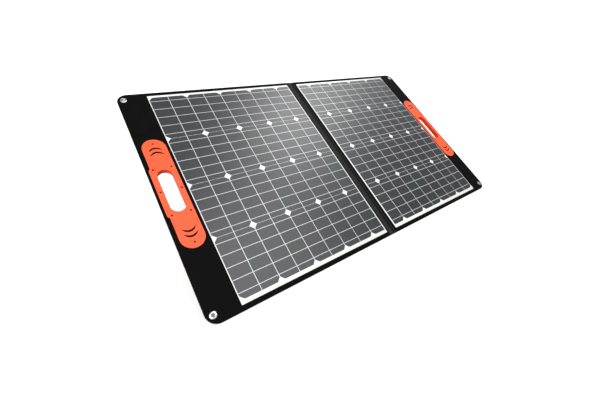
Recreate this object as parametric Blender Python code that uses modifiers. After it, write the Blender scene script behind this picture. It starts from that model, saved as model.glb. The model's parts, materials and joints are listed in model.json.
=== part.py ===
"""Folding two-panel solar panel, opened flat and leaning back on its two rear stands.

Everything is drawn in the panel's own frame (X along the panel, Y up the panel, Z out of
the cells) under one empty, which then tilts the whole panel back and lifts it so that its
lower edge and both stand feet rest on the ground at Z = 0.
"""

import math

import bmesh
import bpy
from mathutils import Matrix

MM = 0.001
GAP = 0.3 * MM  # clearance left between touching pieces

# How the panel stands
LEAN = math.radians(34.0)  # between the panel and the ground
STAND_OPEN = math.radians(70.0)  # between the panel's back and an open stand

# Cells: strips a third of a 156.75 mm cell wide, in rows of nine
STRIP_PITCH = 54.0 * MM
STRIPS = 9
ROW_PITCH = 158.4 * MM
ROWS = 4
CELL_HEIGHT = 156.75 * MM
CELL_WIDTH = 2 * STRIP_PITCH
CHAMFER = 10.0 * MM
CELL_GAP = 2.0 * MM

# Outline of one panel, as distances from the fold line and from the middle height
CELLS_INNER = 22.7 * MM
CELLS_OUTER = CELLS_INNER + STRIPS * STRIP_PITCH
SHEET_INNER = CELLS_INNER - 1.2 * MM
SHEET_OUTER = CELLS_OUTER + 1.2 * MM
SHEET_HALF_HEIGHT = ROWS * ROW_PITCH / 2 + 8.8 * MM
COVER_INNER = 14.0 * MM
COVER_OUTER = CELLS_OUTER + 80.3 * MM
COVER_HALF_HEIGHT = ROWS * ROW_PITCH / 2 + 22.4 * MM
CORNER_RADIUS = 29.0 * MM
BOARD_INSET = 2.0 * MM

# Layers, as heights above the front fabric
FABRIC = 0.7 * MM
FRONT_FABRIC = -FABRIC
BOARD_TOP = FRONT_FABRIC - GAP
BOARD = 2.4 * MM
BOARD_BOTTOM = BOARD_TOP - BOARD
BACK_TOP = BOARD_BOTTOM - GAP
BACK_BOTTOM = BACK_TOP - FABRIC
SHEET_BOTTOM = GAP
SHEET_TOP = SHEET_BOTTOM + 0.8 * MM
CELL_BOTTOM = SHEET_TOP + GAP
CELL_TOP = CELL_BOTTOM + 0.3 * MM
FILM_BOTTOM = CELL_TOP + GAP
FILM_TOP = FILM_BOTTOM + 0.3 * MM
FOLD_HEIGHT = 5.0 * MM  # the fold's axis clears both handles when the panels shut

# Carrying handle, as distances from the outer edge of the cells
HANDLE_NEAR = 9.4 * MM
HANDLE_FAR = 68.8 * MM
HANDLE_BULGE = 4.8 * MM
BULGE_HALF = 75.0 * MM
BULGE_TAPER = 9.0 * MM
HANDLE_HALF = 164.0 * MM
HANDLE_PLATE = 2.2 * MM
HANDLE_BACK_PLATE = 8.9 * MM
HANDLE_EDGE = 1.1 * MM
HANDLE_LIP = 2.7 * MM
SLOT_STEP = 0.4 * MM  # the core stands back from the flange's slot
SLOT_MIDDLE = 40.6 * MM
SLOT_HALF_WIDTH = 18.8 * MM
SLOT_HALF_HEIGHT = 63.5 * MM
SPLIT = -2.0 * MM  # height where the two handle shells meet
END_SCREW = 149.5 * MM
END_SCREW_ASIDE = 1.7 * MM
SIDE_SCREW = 68.5 * MM
SIDE_SCREW_ACROSS = 22.5 * MM
MIDDLE_SCREW_OUT = 26.0 * MM
MIDDLE_SCREW_IN = 25.3 * MM
CRESCENT_WIDTH = 34.0 * MM
CRESCENT_SAG = 12.7 * MM
CRESCENT_THICK = 5.4 * MM
CRESCENT_DEPTH = 0.8 * MM
CRESCENT_TIPS = (110.0 * MM, 124.0 * MM)  # how far from the middle the tips lie

# Screws
SCREW_HEAD = 2.8 * MM
SCREW_SHANK = 1.4 * MM
SCREW_HEAD_HEIGHT = 1.4 * MM
SCREW_SINK = 0.4 * MM
SCREW_LENGTH = 8.8 * MM

# Eyelets in the outer corners
EYELET_FROM_EDGE = 16.8 * MM
EYELET_FROM_TOP = 21.4 * MM
EYELET_OUTER = 8.3 * MM
EYELET_BARREL = 4.8 * MM
EYELET_BORE = 4.0 * MM
EYELET_FLANGE_TOP = 1.3 * MM
EYELET_ROLL = 0.8 * MM  # how far the bore's edge is rounded
EYELET_SKIRT = 0.9 * MM  # how far the flange's edge slopes
EYELET_FOOT = BACK_BOTTOM - 1.6 * MM
WASHER_BOTTOM = BACK_BOTTOM - 1.1 * MM
WASHER_SLOPE = 0.6 * MM

# Rear stands
STAND_X = (CELLS_INNER + CELLS_OUTER) / 2
STAND_Y = 150.0 * MM
PIN_Z = -12.0 * MM
PIN_RADIUS = 2.0 * MM
PIN_HOLE = 2.3 * MM
BARREL_RADIUS = 4.5 * MM
STAND_HALF_WIDTH = 100.0 * MM
STAND_THICK = 5.0 * MM
STAND_HEEL = 3.6 * MM
FOOT_RADIUS = 4.0 * MM
BRACKET_PLATE = 2.5 * MM
BRACKET_HALF_HEIGHT = 12.0 * MM
LUG_THICK = 7.4 * MM
LUG_PLAY = 0.4 * MM  # between a lug and the end of the stand's barrel
LUG_REACH = 5.0 * MM
LUG_ROOT = 1.0 * MM  # how deep a lug sinks into the bracket's plate
BRACKET_END = 0.6 * MM  # plate left outside a lug
FOOT_SHORT = 8.0 * MM  # how much shorter the foot is at each end

# Junction boxes on the back
BOX_X = 62.0 * MM
BOX_Y = 262.0 * MM
BOX_SIZE = (66.0 * MM, 44.0 * MM, 13.0 * MM)
BOX_ROUNDING = 3.0 * MM
GLAND_RADIUS = 6.0 * MM
GLAND_LENGTH = 16.0 * MM
GLAND_BORE = 1.8 * MM
GLAND_DEPTH = 4.0 * MM  # of the lead's hole
GLAND_NOSE = 2.0 * MM
GLAND_TAPER = 1.5 * MM

# Fabric hinge between the panels
HINGE_HALF_WIDTH = COVER_INNER - GAP
HINGE_TOP = -1.4 * MM
HINGE_BOTTOM = -3.0 * MM

# The lower back edge rests on the ground, and the whole depth is centred on Y = 0
LIFT = COVER_HALF_HEIGHT * math.sin(LEAN) - BACK_BOTTOM * math.cos(LEAN)
SHIFT = BACK_BOTTOM * math.sin(LEAN) / 2
PIN_GROUND = LIFT + STAND_Y * math.sin(LEAN) + PIN_Z * math.cos(LEAN)
STAND_DROP = math.sin(STAND_OPEN + LEAN)  # height lost along one metre of open stand
FOOT_REACH = (PIN_GROUND - FOOT_RADIUS) / STAND_DROP

SIDES = {"left": -1, "right": 1}


def clear_scene():
    for item in list(bpy.data.objects):
        bpy.data.objects.remove(item, do_unlink=True)


def collection(name):
    group = bpy.data.collections.new(name)
    bpy.context.scene.collection.children.link(group)
    return group


def material(name, colour, roughness, metallic=0.0):
    made = bpy.data.materials.new(name)
    made.use_nodes = True
    shader = made.node_tree.nodes["Principled BSDF"]
    shader.inputs["Base Color"].default_value = (*colour, 1.0)
    shader.inputs["Roughness"].default_value = roughness
    shader.inputs["Metallic"].default_value = metallic
    made.diffuse_color = (*colour, 1.0)
    return made


def arc(centre, radius, start, stop, steps):
    """Points along an arc, both ends included; angles in degrees."""
    angles = [math.radians(start + (stop - start) * i / steps) for i in range(steps + 1)]
    return [(centre[0] + radius * math.cos(a), centre[1] + radius * math.sin(a)) for a in angles]


def circle(x, y, radius, steps):
    return arc((x, y), radius, 0, 360 - 360 / steps, steps - 1)


def stadium(x, y, half_width, half_height, steps=8):
    """An upright slot with round ends."""
    straight = half_height - half_width
    top = arc((x, y + straight), half_width, 0, 180, steps)
    bottom = arc((x, y - straight), half_width, 180, 360, steps)
    return top + bottom


def panel_outline(side, inset=0.0):
    """One panel's outline: square at the fold, rounded at its outer corners."""
    inner = COVER_INNER + inset
    outer = COVER_OUTER - inset
    half = COVER_HALF_HEIGHT - inset
    radius = CORNER_RADIUS - inset
    top = arc((outer - radius, half - radius), radius, 0, 90, 6)
    bottom = arc((outer - radius, radius - half), radius, 270, 360, 6)
    points = top + [(inner, half), (inner, -half)] + bottom
    return [(side * x, y) for x, y in points]


def handle_outline(side, inset=0.0):
    """Handle outline: round ends, with a shallow bulge along the outer side."""
    near = CELLS_OUTER + HANDLE_NEAR + inset
    far = CELLS_OUTER + HANDLE_FAR - inset
    half_width = (far - near) / 2
    middle = (far + near) / 2
    straight = HANDLE_HALF - inset - half_width
    top = arc((middle, straight), half_width, 0, 180, 10)
    bottom = arc((middle, -straight), half_width, 180, 360, 10)
    bulge = [
        (far, -BULGE_HALF),
        (far + HANDLE_BULGE, BULGE_TAPER - BULGE_HALF),
        (far + HANDLE_BULGE, BULGE_HALF - BULGE_TAPER),
        (far, BULGE_HALF),
    ]
    return [(side * x, y) for x, y in bottom + bulge + top]


def slot_outline(side, inset=0.0):
    middle = side * (CELLS_OUTER + SLOT_MIDDLE)
    return stadium(middle, 0, SLOT_HALF_WIDTH - inset, SLOT_HALF_HEIGHT - inset)


def eyelet_places(side):
    x = side * (COVER_OUTER - EYELET_FROM_EDGE)
    y = COVER_HALF_HEIGHT - EYELET_FROM_TOP
    return {"top": (x, y), "bottom": (x, -y)}


def screw_places(side):
    """Centres of the eight screws of one handle, from the top down."""
    middle = CELLS_OUTER + SLOT_MIDDLE
    ends = middle - END_SCREW_ASIDE
    places = [
        (ends, END_SCREW),
        (middle + SIDE_SCREW_ACROSS, SIDE_SCREW),
        (middle - SIDE_SCREW_ACROSS, SIDE_SCREW),
        (middle + MIDDLE_SCREW_OUT, 0.0),
        (middle - MIDDLE_SCREW_IN, 0.0),
        (middle + SIDE_SCREW_ACROSS, -SIDE_SCREW),
        (middle - SIDE_SCREW_ACROSS, -SIDE_SCREW),
        (ends, -END_SCREW),
    ]
    return [(side * x, y) for x, y in places]


def crescent(side, tips, end):
    """A crescent whose round side faces the handle's nearer end."""
    middle = CELLS_OUTER + (HANDLE_NEAR + HANDLE_FAR) / 2
    half = CRESCENT_WIDTH / 2
    outer = (half**2 + CRESCENT_SAG**2) / (2 * CRESCENT_SAG)
    inner_sag = CRESCENT_SAG - CRESCENT_THICK
    inner = (half**2 + inner_sag**2) / (2 * inner_sag)
    spread = math.degrees(math.asin(half / outer))
    inner_spread = math.degrees(math.asin(half / inner))
    far = arc((0, CRESCENT_SAG - outer), outer, 90 - spread, 90 + spread, 6)
    near = arc((0, inner_sag - inner), inner, 90 + inner_spread, 90 - inner_spread, 6)
    return [(side * (middle + x), end * (tips + y)) for x, y in far + near[1:-1]]


def mesh_object(name, mesh, group, skin, parent, location=(0, 0, 0)):
    item = bpy.data.objects.new(name, mesh)
    group.objects.link(item)
    item.location = location
    item.parent = parent
    mesh.materials.clear()
    mesh.materials.append(skin)
    return item


def tidy_mesh(mesh, smooth=True):
    """Welds loose caps, turns every face outwards and shades round walls smooth."""
    shape = bmesh.new()
    shape.from_mesh(mesh)
    bmesh.ops.remove_doubles(shape, verts=shape.verts, dist=1e-6)
    bmesh.ops.recalc_face_normals(shape, faces=shape.faces)
    shape.to_mesh(mesh)
    shape.free()
    if smooth:
        mesh.shade_smooth()
        mesh.set_sharp_from_angle(angle=math.radians(35))
    return mesh


def evaluated_mesh(source):
    """The mesh an object shows after its modifiers; the object itself is removed."""
    bpy.context.view_layer.update()
    seen = source.evaluated_get(bpy.context.evaluated_depsgraph_get())
    mesh = bpy.data.meshes.new_from_object(seen)
    mesh.transform(source.matrix_world)
    bpy.data.objects.remove(source, do_unlink=True)
    return tidy_mesh(mesh)


def plate_mesh(name, outlines, bottom, top):
    """A flat plate between two heights; outlines after the first one are holes."""
    curve = bpy.data.curves.new(name, "CURVE")
    curve.dimensions = "2D"
    curve.fill_mode = "BOTH"
    curve.extrude = (top - bottom) / 2
    for points in outlines:
        spline = curve.splines.new("POLY")
        spline.points.add(len(points) - 1)
        for point, (x, y) in zip(spline.points, points):
            point.co = (x, y, 0, 1)
        spline.use_cyclic_u = True
    source = bpy.data.objects.new(name, curve)
    bpy.context.scene.collection.objects.link(source)
    source.location.z = (top + bottom) / 2
    return evaluated_mesh(source)


def turned_mesh(name, profile, steps):
    """A closed profile of (radius, height) points turned about Z."""
    mesh = bpy.data.meshes.new(name)
    shape = bmesh.new()
    verts = [shape.verts.new((radius, 0, height)) for radius, height in profile]
    pairs = zip(verts, verts[1:]) if profile[0][0] == 0 else zip(verts, verts[1:] + verts[:1])
    for first, second in pairs:
        shape.edges.new((first, second))
    shape.to_mesh(mesh)
    shape.free()
    source = bpy.data.objects.new(name, mesh)
    bpy.context.scene.collection.objects.link(source)
    screw = source.modifiers.new("turn", "SCREW")
    screw.steps = steps
    screw.render_steps = steps
    screw.use_merge_vertices = True
    screw.merge_threshold = 1e-6
    return evaluated_mesh(source)


def rod_mesh(name, radius, half_length, steps):
    """A round bar along X."""
    bpy.ops.mesh.primitive_cylinder_add(
        vertices=steps, radius=radius, depth=2 * half_length, rotation=(0, math.pi / 2, 0)
    )
    source = bpy.context.object
    source.name = name
    return evaluated_mesh(source)


def block_mesh(name, centre, size):
    bpy.ops.mesh.primitive_cube_add(size=1, location=centre)
    source = bpy.context.object
    source.name = name
    source.scale = size
    return evaluated_mesh(source)


def combine(target, mesh, operation, cutters):
    """Adds a Boolean with another mesh, which is kept as a hidden helper."""
    helper = bpy.data.objects.new(target.name + "_helper", mesh)
    cutters.objects.link(helper)
    helper.parent = target.parent
    helper.hide_render = True
    helper.display_type = "WIRE"
    step = target.modifiers.new(operation.lower(), "BOOLEAN")
    step.operation = operation
    step.object = helper
    step.solver = "EXACT"


def joined_mesh(name, meshes):
    """Several closed shapes that stand apart, in one mesh for one Boolean."""
    shape = bmesh.new()
    for mesh in meshes:
        shape.from_mesh(mesh)
        bpy.data.meshes.remove(mesh)
    joined = bpy.data.meshes.new(name)
    shape.to_mesh(joined)
    shape.free()
    return joined


def round_top_edges(item, height, width):
    """Rounds the edges that lie at the given height."""
    mesh = item.data
    weights = mesh.attributes.new("bevel_weight_edge", "FLOAT", "EDGE")
    for edge in mesh.edges:
        ends = [mesh.vertices[i].co.z for i in edge.vertices]
        corner = all(abs(z - height) < 1e-6 for z in ends) and is_corner(mesh, edge)
        weights.data[edge.index].value = 1.0 if corner else 0.0
    bevel = item.modifiers.new("rounded edge", "BEVEL")
    bevel.limit_method = "WEIGHT"
    bevel.width = width
    bevel.segments = 2


def is_corner(mesh, edge):
    """True for an edge between a flat face and a wall."""
    normals = [f.normal.z for f in mesh.polygons if set(edge.vertices) <= set(f.vertices)]
    return len(normals) == 2 and abs(abs(normals[0]) - abs(normals[1])) > 0.5


def add_plate(name, outlines, bottom, top, skin, parts, parent):
    return mesh_object(name, plate_mesh(name, outlines, bottom, top), parts, skin, parent)


def add_covers(label, side, skins, parts, cutters, parent):
    """Fabric shell of one panel with its stiff board inside."""
    eyelets = [circle(x, y, EYELET_BARREL + GAP, 12) for x, y in eyelet_places(side).values()]
    opening = handle_outline(side, HANDLE_LIP - GAP)
    holes = [opening] + eyelets
    add_plate(f"{label}_front_cover", [panel_outline(side)] + holes, FRONT_FABRIC, 0,
              skins["fabric"], parts, parent)
    inside = panel_outline(side, BOARD_INSET)
    add_plate(f"{label}_backing_board", [inside] + holes, BOARD_BOTTOM, BOARD_TOP,
              skins["board"], parts, parent)
    back = add_plate(f"{label}_back_cover", [panel_outline(side)] + holes, BACK_BOTTOM,
                     BOARD_TOP, skins["fabric"], parts, parent)
    hollow = panel_outline(side, BOARD_INSET - GAP)
    combine(back, plate_mesh("hollow", [hollow], BACK_TOP, BOARD_TOP + MM), "DIFFERENCE", cutters)


def add_laminate(label, side, skins, parts, parent):
    """White sheet, four rows of cells and the clear film over them."""
    half = SHEET_HALF_HEIGHT
    corners = [(SHEET_INNER, -half), (SHEET_OUTER, -half), (SHEET_OUTER, half), (SHEET_INNER, half)]
    outline = [(side * x, y) for x, y in corners]
    add_plate(f"{label}_back_sheet", [outline], SHEET_BOTTOM, SHEET_TOP,
              skins["white sheet"], parts, parent)
    for row in range(ROWS):
        middle = ROW_PITCH * ((ROWS - 1) / 2 - row)
        add_plate(f"{label}_cell_row_{row + 1}", [row_outline(side, middle)], CELL_BOTTOM,
                  CELL_TOP, skins["cells"], parts, parent)
    add_plate(f"{label}_front_film", [outline], FILM_BOTTOM, FILM_TOP,
              skins["film"], parts, parent)


def row_outline(side, middle):
    """A row of nine strips; every cell has its corners cut off."""
    start = CELLS_INNER + CELL_GAP / 2
    finish = CELLS_OUTER - CELL_GAP / 2
    half = CELL_HEIGHT / 2
    upper = [(finish, half - CHAMFER), (finish - CHAMFER, half)]
    for cell in range(1, STRIPS // 2 + 1):
        notch = CELLS_OUTER - cell * CELL_WIDTH
        upper += [(notch + CHAMFER, half), (notch, half - CHAMFER), (notch - CHAMFER, half)]
    upper += [(start, half)]
    lower = [(x, -y) for x, y in reversed(upper)]
    return [(side * x, middle + y) for x, y in upper + lower]


def add_handle(label, side, skins, parts, cutters, parent):
    """Two moulded shells, one on each face, that meet inside the fabric's opening."""
    top = GAP + HANDLE_PLATE
    front_flange = plate_mesh("flange", [handle_outline(side), slot_outline(side)], GAP, top)
    front = mesh_object(f"{label}_handle_front", front_flange, parts, skins["orange"], parent)
    round_top_edges(front, top, HANDLE_EDGE)
    core = [handle_outline(side, HANDLE_LIP), slot_outline(side, -SLOT_STEP)]
    combine(front, plate_mesh("core", core, SPLIT, GAP + MM), "UNION", cutters)
    combine(front, screw_holes(side, top), "DIFFERENCE", cutters)
    grooves = [
        plate_mesh("groove", [crescent(side, tips, end)], top - CRESCENT_DEPTH, top + MM)
        for tips in CRESCENT_TIPS
        for end in (-1, 1)
    ]
    combine(front, joined_mesh("grooves", grooves), "DIFFERENCE", cutters)

    bottom = BACK_BOTTOM - GAP - HANDLE_BACK_PLATE
    flange = [handle_outline(side), slot_outline(side)]
    back_flange = plate_mesh("flange", flange, bottom, bottom + HANDLE_BACK_PLATE)
    back = mesh_object(f"{label}_handle_back", back_flange, parts, skins["orange"], parent)
    round_top_edges(back, bottom, HANDLE_EDGE)
    rim = plate_mesh("core", core, bottom + HANDLE_BACK_PLATE - MM, SPLIT - GAP)
    combine(back, rim, "UNION", cutters)
    combine(back, screw_holes(side, top), "DIFFERENCE", cutters)


def screw_profile(top, clearance):
    head = top - SCREW_SINK - SCREW_HEAD_HEIGHT - clearance
    tip = top - SCREW_SINK - SCREW_HEAD_HEIGHT - SCREW_LENGTH - clearance
    crown = top + MM if clearance else top - SCREW_SINK
    return [
        (0, crown),
        (SCREW_HEAD + clearance, crown),
        (SCREW_HEAD + clearance, head),
        (SCREW_SHANK + clearance, head),
        (SCREW_SHANK + clearance, tip),
        (0, tip),
    ]


def screw_holes(side, top):
    holes = []
    for x, y in screw_places(side):
        hole = turned_mesh("hole", screw_profile(top, GAP), 8)
        hole.transform(Matrix.Translation((x, y, 0)))
        holes.append(hole)
    return joined_mesh("screw holes", holes)


def add_screws(label, side, skins, parts, parent):
    shape = turned_mesh("screw", screw_profile(GAP + HANDLE_PLATE, 0), 8)
    for number, (x, y) in enumerate(screw_places(side), 1):
        mesh_object(f"{label}_handle_screw_{number}", shape, parts, skins["screw"], parent, (x, y, 0))


def add_eyelets(label, side, skins, parts, parent):
    """A flanged barrel pressed through the fabric, closed by a washer on the back."""
    barrel = turned_mesh("eyelet", [
        (EYELET_BORE, EYELET_FLANGE_TOP - EYELET_ROLL / 2),
        (EYELET_BORE + EYELET_ROLL, EYELET_FLANGE_TOP),
        (EYELET_OUTER - EYELET_SKIRT, EYELET_FLANGE_TOP),
        (EYELET_OUTER, GAP),
        (EYELET_BARREL, GAP),
        (EYELET_BARREL, EYELET_FOOT),
        (EYELET_BORE, EYELET_FOOT),
    ], 18)
    washer = turned_mesh("washer", [
        (EYELET_BARREL + GAP, BACK_BOTTOM - GAP),
        (EYELET_OUTER, BACK_BOTTOM - GAP),
        (EYELET_OUTER - WASHER_SLOPE, WASHER_BOTTOM),
        (EYELET_BARREL + GAP, WASHER_BOTTOM),
    ], 18)
    for place, (x, y) in eyelet_places(side).items():
        mesh_object(f"{label}_eyelet_{place}", barrel, parts, skins["metal"], parent, (x, y, 0))
        mesh_object(f"{label}_eyelet_washer_{place}", washer, parts, skins["metal"], parent, (x, y, 0))


def add_stand(label, side, skins, parts, cutters, parent):
    """A hinged rear stand: bracket and pin on the panel, board and foot that swing."""
    axis = bpy.data.objects.new(f"{label}_stand_axis", None)
    parts.objects.link(axis)
    axis.parent = parent
    axis.location = (side * STAND_X, STAND_Y, PIN_Z)
    half = STAND_HALF_WIDTH + LUG_PLAY + LUG_THICK + BRACKET_END
    plate_top = BACK_BOTTOM - GAP - PIN_Z
    plate_middle = plate_top - BRACKET_PLATE / 2
    plate_size = (2 * half, 2 * BRACKET_HALF_HEIGHT, BRACKET_PLATE)
    plate = block_mesh("plate", (0, 0, plate_middle), plate_size)
    bracket = mesh_object(f"{label}_stand_bracket", plate, parts, skins["black plastic"], axis)
    for end in (-1, 1):
        lug_top = plate_top - LUG_ROOT
        lug_x = end * (STAND_HALF_WIDTH + LUG_PLAY + LUG_THICK / 2)
        lug_centre = (lug_x, 0, (lug_top - LUG_REACH) / 2)
        lug_size = (LUG_THICK, 2 * LUG_REACH, lug_top + LUG_REACH)
        combine(bracket, block_mesh("lug", lug_centre, lug_size), "UNION", cutters)
    combine(bracket, rod_mesh("bore", PIN_HOLE, half + MM, 12), "DIFFERENCE", cutters)
    mesh_object(f"{label}_stand_pin", rod_mesh("pin", PIN_RADIUS, half, 12), parts,
                skins["steel"], axis)

    swing = bpy.data.objects.new(f"{label}_stand_swing", None)
    parts.objects.link(swing)
    swing.parent = axis
    swing.rotation_euler = (STAND_OPEN, 0, 0)
    length = FOOT_REACH - FOOT_RADIUS - GAP
    middle = (STAND_HEEL - length) / 2
    board_size = (2 * STAND_HALF_WIDTH, length + STAND_HEEL, STAND_THICK)
    board_mesh = block_mesh("stand", (0, middle, 0), board_size)
    board = mesh_object(f"{label}_stand_board", board_mesh, parts, skins["fabric"], swing)
    barrel = rod_mesh("barrel", BARREL_RADIUS, STAND_HALF_WIDTH, 14)
    combine(board, barrel, "UNION", cutters)
    combine(board, rod_mesh("bore", PIN_HOLE, half, 12), "DIFFERENCE", cutters)
    foot = rod_mesh("foot", FOOT_RADIUS, STAND_HALF_WIDTH - FOOT_SHORT, 16)
    mesh_object(f"{label}_stand_foot", foot, parts, skins["rubber"], swing, (0, -FOOT_REACH, 0))


def add_junction_box(label, side, skins, parts, parent):
    width, height, depth = BOX_SIZE
    top = BACK_BOTTOM - GAP
    centre = (side * BOX_X, BOX_Y, top - depth / 2)
    box = mesh_object(f"{label}_junction_box", block_mesh("box", (0, 0, 0), (width, height, depth)),
                      parts, skins["black plastic"], parent, centre)
    bevel = box.modifiers.new("rounded edges", "BEVEL")
    bevel.width = BOX_ROUNDING
    bevel.segments = 2


def add_output_gland(skins, parts, parent):
    """Cable gland of the output lead, on the left box, facing down the panel."""
    end = GLAND_LENGTH / 2
    profile = [
        (0, -end + GLAND_DEPTH),
        (GLAND_BORE, -end + GLAND_DEPTH),
        (GLAND_BORE, -end),
        (GLAND_RADIUS - GLAND_TAPER, -end),
        (GLAND_RADIUS, -end + GLAND_NOSE),
        (GLAND_RADIUS, end),
        (0, end),
    ]
    depth = BACK_BOTTOM - GAP - BOX_SIZE[2] / 2
    place = (-BOX_X, BOX_Y - BOX_SIZE[1] / 2 - GAP - end, depth)
    gland = mesh_object("left_output_gland", turned_mesh("gland", profile, 12), parts,
                        skins["black plastic"], parent, place)
    gland.rotation_euler = (-math.pi / 2, 0, 0)


def add_fabric_hinge(skins, parts, parent):
    half = COVER_HALF_HEIGHT
    wide = HINGE_HALF_WIDTH
    outline = [(-wide, -half), (wide, -half), (wide, half), (-wide, half)]
    add_plate("fabric_hinge", [outline], HINGE_BOTTOM, HINGE_TOP, skins["fabric"], parts, parent)


def make_skins():
    return {
        "fabric": material("black coated fabric", (0.007, 0.007, 0.007), 0.55),
        "board": material("stiffener board", (0.25, 0.25, 0.24), 0.7),
        "white sheet": material("white back sheet", (0.85, 0.84, 0.80), 0.4),
        "cells": material("silicon cells", (0.075, 0.085, 0.105), 0.35),
        "film": material("clear film", (0.9, 0.92, 0.94), 0.2),
        "orange": material("orange plastic", (0.95, 0.13, 0.035), 0.42),
        "screw": material("dark screws", (0.03, 0.03, 0.03), 0.45, 1.0),
        "metal": material("eyelet metal", (0.62, 0.62, 0.60), 0.28, 1.0),
        "black plastic": material("black plastic", (0.02, 0.02, 0.02), 0.5),
        "steel": material("pin steel", (0.5, 0.5, 0.5), 0.3, 1.0),
        "rubber": material("foot rubber", (0.015, 0.015, 0.015), 0.8),
    }


def build():
    clear_scene()
    parts = collection("folding_solar_panel")
    cutters = collection("cutters")
    skins = make_skins()
    lean = bpy.data.objects.new("panel_lean", None)
    parts.objects.link(lean)
    lean.rotation_euler = (LEAN, 0, 0)
    lean.location = (0, SHIFT, LIFT)
    fold = bpy.data.objects.new("fold_axis", None)
    parts.objects.link(fold)
    fold.parent = lean
    fold.location = (0, 0, FOLD_HEIGHT)
    panel = bpy.data.objects.new("right_panel", None)
    parts.objects.link(panel)
    panel.parent = fold
    panel.location = (0, 0, -FOLD_HEIGHT)
    owners = {"left": lean, "right": panel}
    for label, side in SIDES.items():
        owner = owners[label]
        add_covers(label, side, skins, parts, cutters, owner)
        add_laminate(label, side, skins, parts, owner)
        add_handle(label, side, skins, parts, cutters, owner)
        add_screws(label, side, skins, parts, owner)
        add_eyelets(label, side, skins, parts, owner)
        add_stand(label, side, skins, parts, cutters, owner)
        add_junction_box(label, side, skins, parts, owner)
    add_output_gland(skins, parts, lean)
    add_fabric_hinge(skins, parts, lean)


build()
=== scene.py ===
"""The looks of the folding solar panel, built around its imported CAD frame.

Every piece is drawn in the panel's own frame (X along the panel, Y up it, Z out of the cells),
and place() turns it into the row frame. The attribute "home" keeps those panel coordinates, so
that weave, grain and wear stay on the surface at every pose.
"""

import json
import math

import bmesh
import bpy
from mathutils import Matrix, Vector


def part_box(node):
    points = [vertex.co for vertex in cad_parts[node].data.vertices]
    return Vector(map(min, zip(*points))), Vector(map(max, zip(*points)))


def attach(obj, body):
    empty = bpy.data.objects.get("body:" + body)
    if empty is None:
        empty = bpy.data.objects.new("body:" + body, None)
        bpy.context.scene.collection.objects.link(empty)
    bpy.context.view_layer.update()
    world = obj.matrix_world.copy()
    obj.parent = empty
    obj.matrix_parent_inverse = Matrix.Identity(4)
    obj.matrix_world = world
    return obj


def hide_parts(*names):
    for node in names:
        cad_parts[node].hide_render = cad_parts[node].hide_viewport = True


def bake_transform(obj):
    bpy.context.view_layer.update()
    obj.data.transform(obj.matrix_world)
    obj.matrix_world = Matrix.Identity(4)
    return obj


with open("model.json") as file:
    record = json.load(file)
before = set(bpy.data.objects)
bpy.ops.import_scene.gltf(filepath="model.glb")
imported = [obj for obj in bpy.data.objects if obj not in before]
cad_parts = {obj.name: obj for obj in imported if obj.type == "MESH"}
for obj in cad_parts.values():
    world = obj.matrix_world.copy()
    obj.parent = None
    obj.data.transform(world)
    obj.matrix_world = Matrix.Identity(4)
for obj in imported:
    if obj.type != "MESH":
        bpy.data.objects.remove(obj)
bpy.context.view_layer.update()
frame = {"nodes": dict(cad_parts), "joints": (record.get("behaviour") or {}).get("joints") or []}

MM = 0.001
SIDES = {"left": -1, "right": 1}

# Sizes repeated from the CAD model
GAP = 0.3 * MM  # clearance left between touching pieces
FOLD_HEIGHT = 5.0 * MM  # of the fold's axis above the front fabric
STRIP_PITCH = 54.0 * MM
STRIPS = 9
ROW_PITCH = 158.4 * MM
ROWS = 4
CHAMFER = 10.0 * MM
CELLS_INNER = 22.7 * MM
CELLS_OUTER = CELLS_INNER + STRIPS * STRIP_PITCH
SHEET_INNER = CELLS_INNER - 1.2 * MM
SHEET_OUTER = CELLS_OUTER + 1.2 * MM
COVER_INNER = 14.0 * MM
COVER_OUTER = CELLS_OUTER + 80.3 * MM
COVER_HALF = ROWS * ROW_PITCH / 2 + 22.4 * MM
CORNER_RADIUS = 29.0 * MM
THICKNESS = 4.4 * MM
BACK_FACE = -THICKNESS - GAP  # where pieces lie against the back
HANDLE_NEAR = 9.4 * MM
HANDLE_FAR = 68.8 * MM
HANDLE_BULGE = 4.8 * MM
BULGE_HALF = 75.0 * MM
BULGE_TAPER = 9.0 * MM
HANDLE_HALF = 164.0 * MM
HANDLE_LIP = 2.7 * MM
HANDLE_TOP = 2.5 * MM
HANDLE_BOTTOM = -13.6 * MM
SLOT_STEP = 0.4 * MM  # how far the core stands back from the slot
SLOT_MIDDLE = 40.6 * MM
SLOT_HALF_WIDTH = 18.8 * MM
SLOT_HALF_HEIGHT = 63.5 * MM
SPLIT = -2.0 * MM  # height where the two handle shells meet
END_SCREW = 149.5 * MM
END_SCREW_ASIDE = 1.7 * MM
SIDE_SCREW = 68.5 * MM
SIDE_SCREW_ACROSS = 22.5 * MM
MIDDLE_SCREW_OUT = 26.0 * MM
MIDDLE_SCREW_IN = 25.3 * MM
SCREW_SHANK = 1.4 * MM
CRESCENT_WIDTH = 34.0 * MM
CRESCENT_SAG = 12.7 * MM
CRESCENT_THICK = 5.4 * MM
CRESCENT_TIPS = (110.0 * MM, 124.0 * MM)  # how far from the middle the tips lie
CRESCENT_DEPTH = 0.8 * MM
EYELET_FROM_EDGE = 16.8 * MM
EYELET_FROM_TOP = 21.4 * MM
EYELET_OUTER = 8.3 * MM
EYELET_BARREL = 4.8 * MM
EYELET_BORE = 4.0 * MM
STAND_X = (CELLS_INNER + CELLS_OUTER) / 2
STAND_Y = 150.0 * MM
PIN_Z = -12.0 * MM
PIN_RADIUS = 2.0 * MM
PIN_HOLE = 2.3 * MM
STAND_OPEN = math.radians(70.0)
STAND_HALF_WIDTH = 100.0 * MM
STAND_THICK = 5.0 * MM
BRACKET_PLATE = 2.5 * MM
BRACKET_HALF_HEIGHT = 12.0 * MM
LUG_THICK = 7.4 * MM
LUG_REACH = 5.0 * MM
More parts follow.
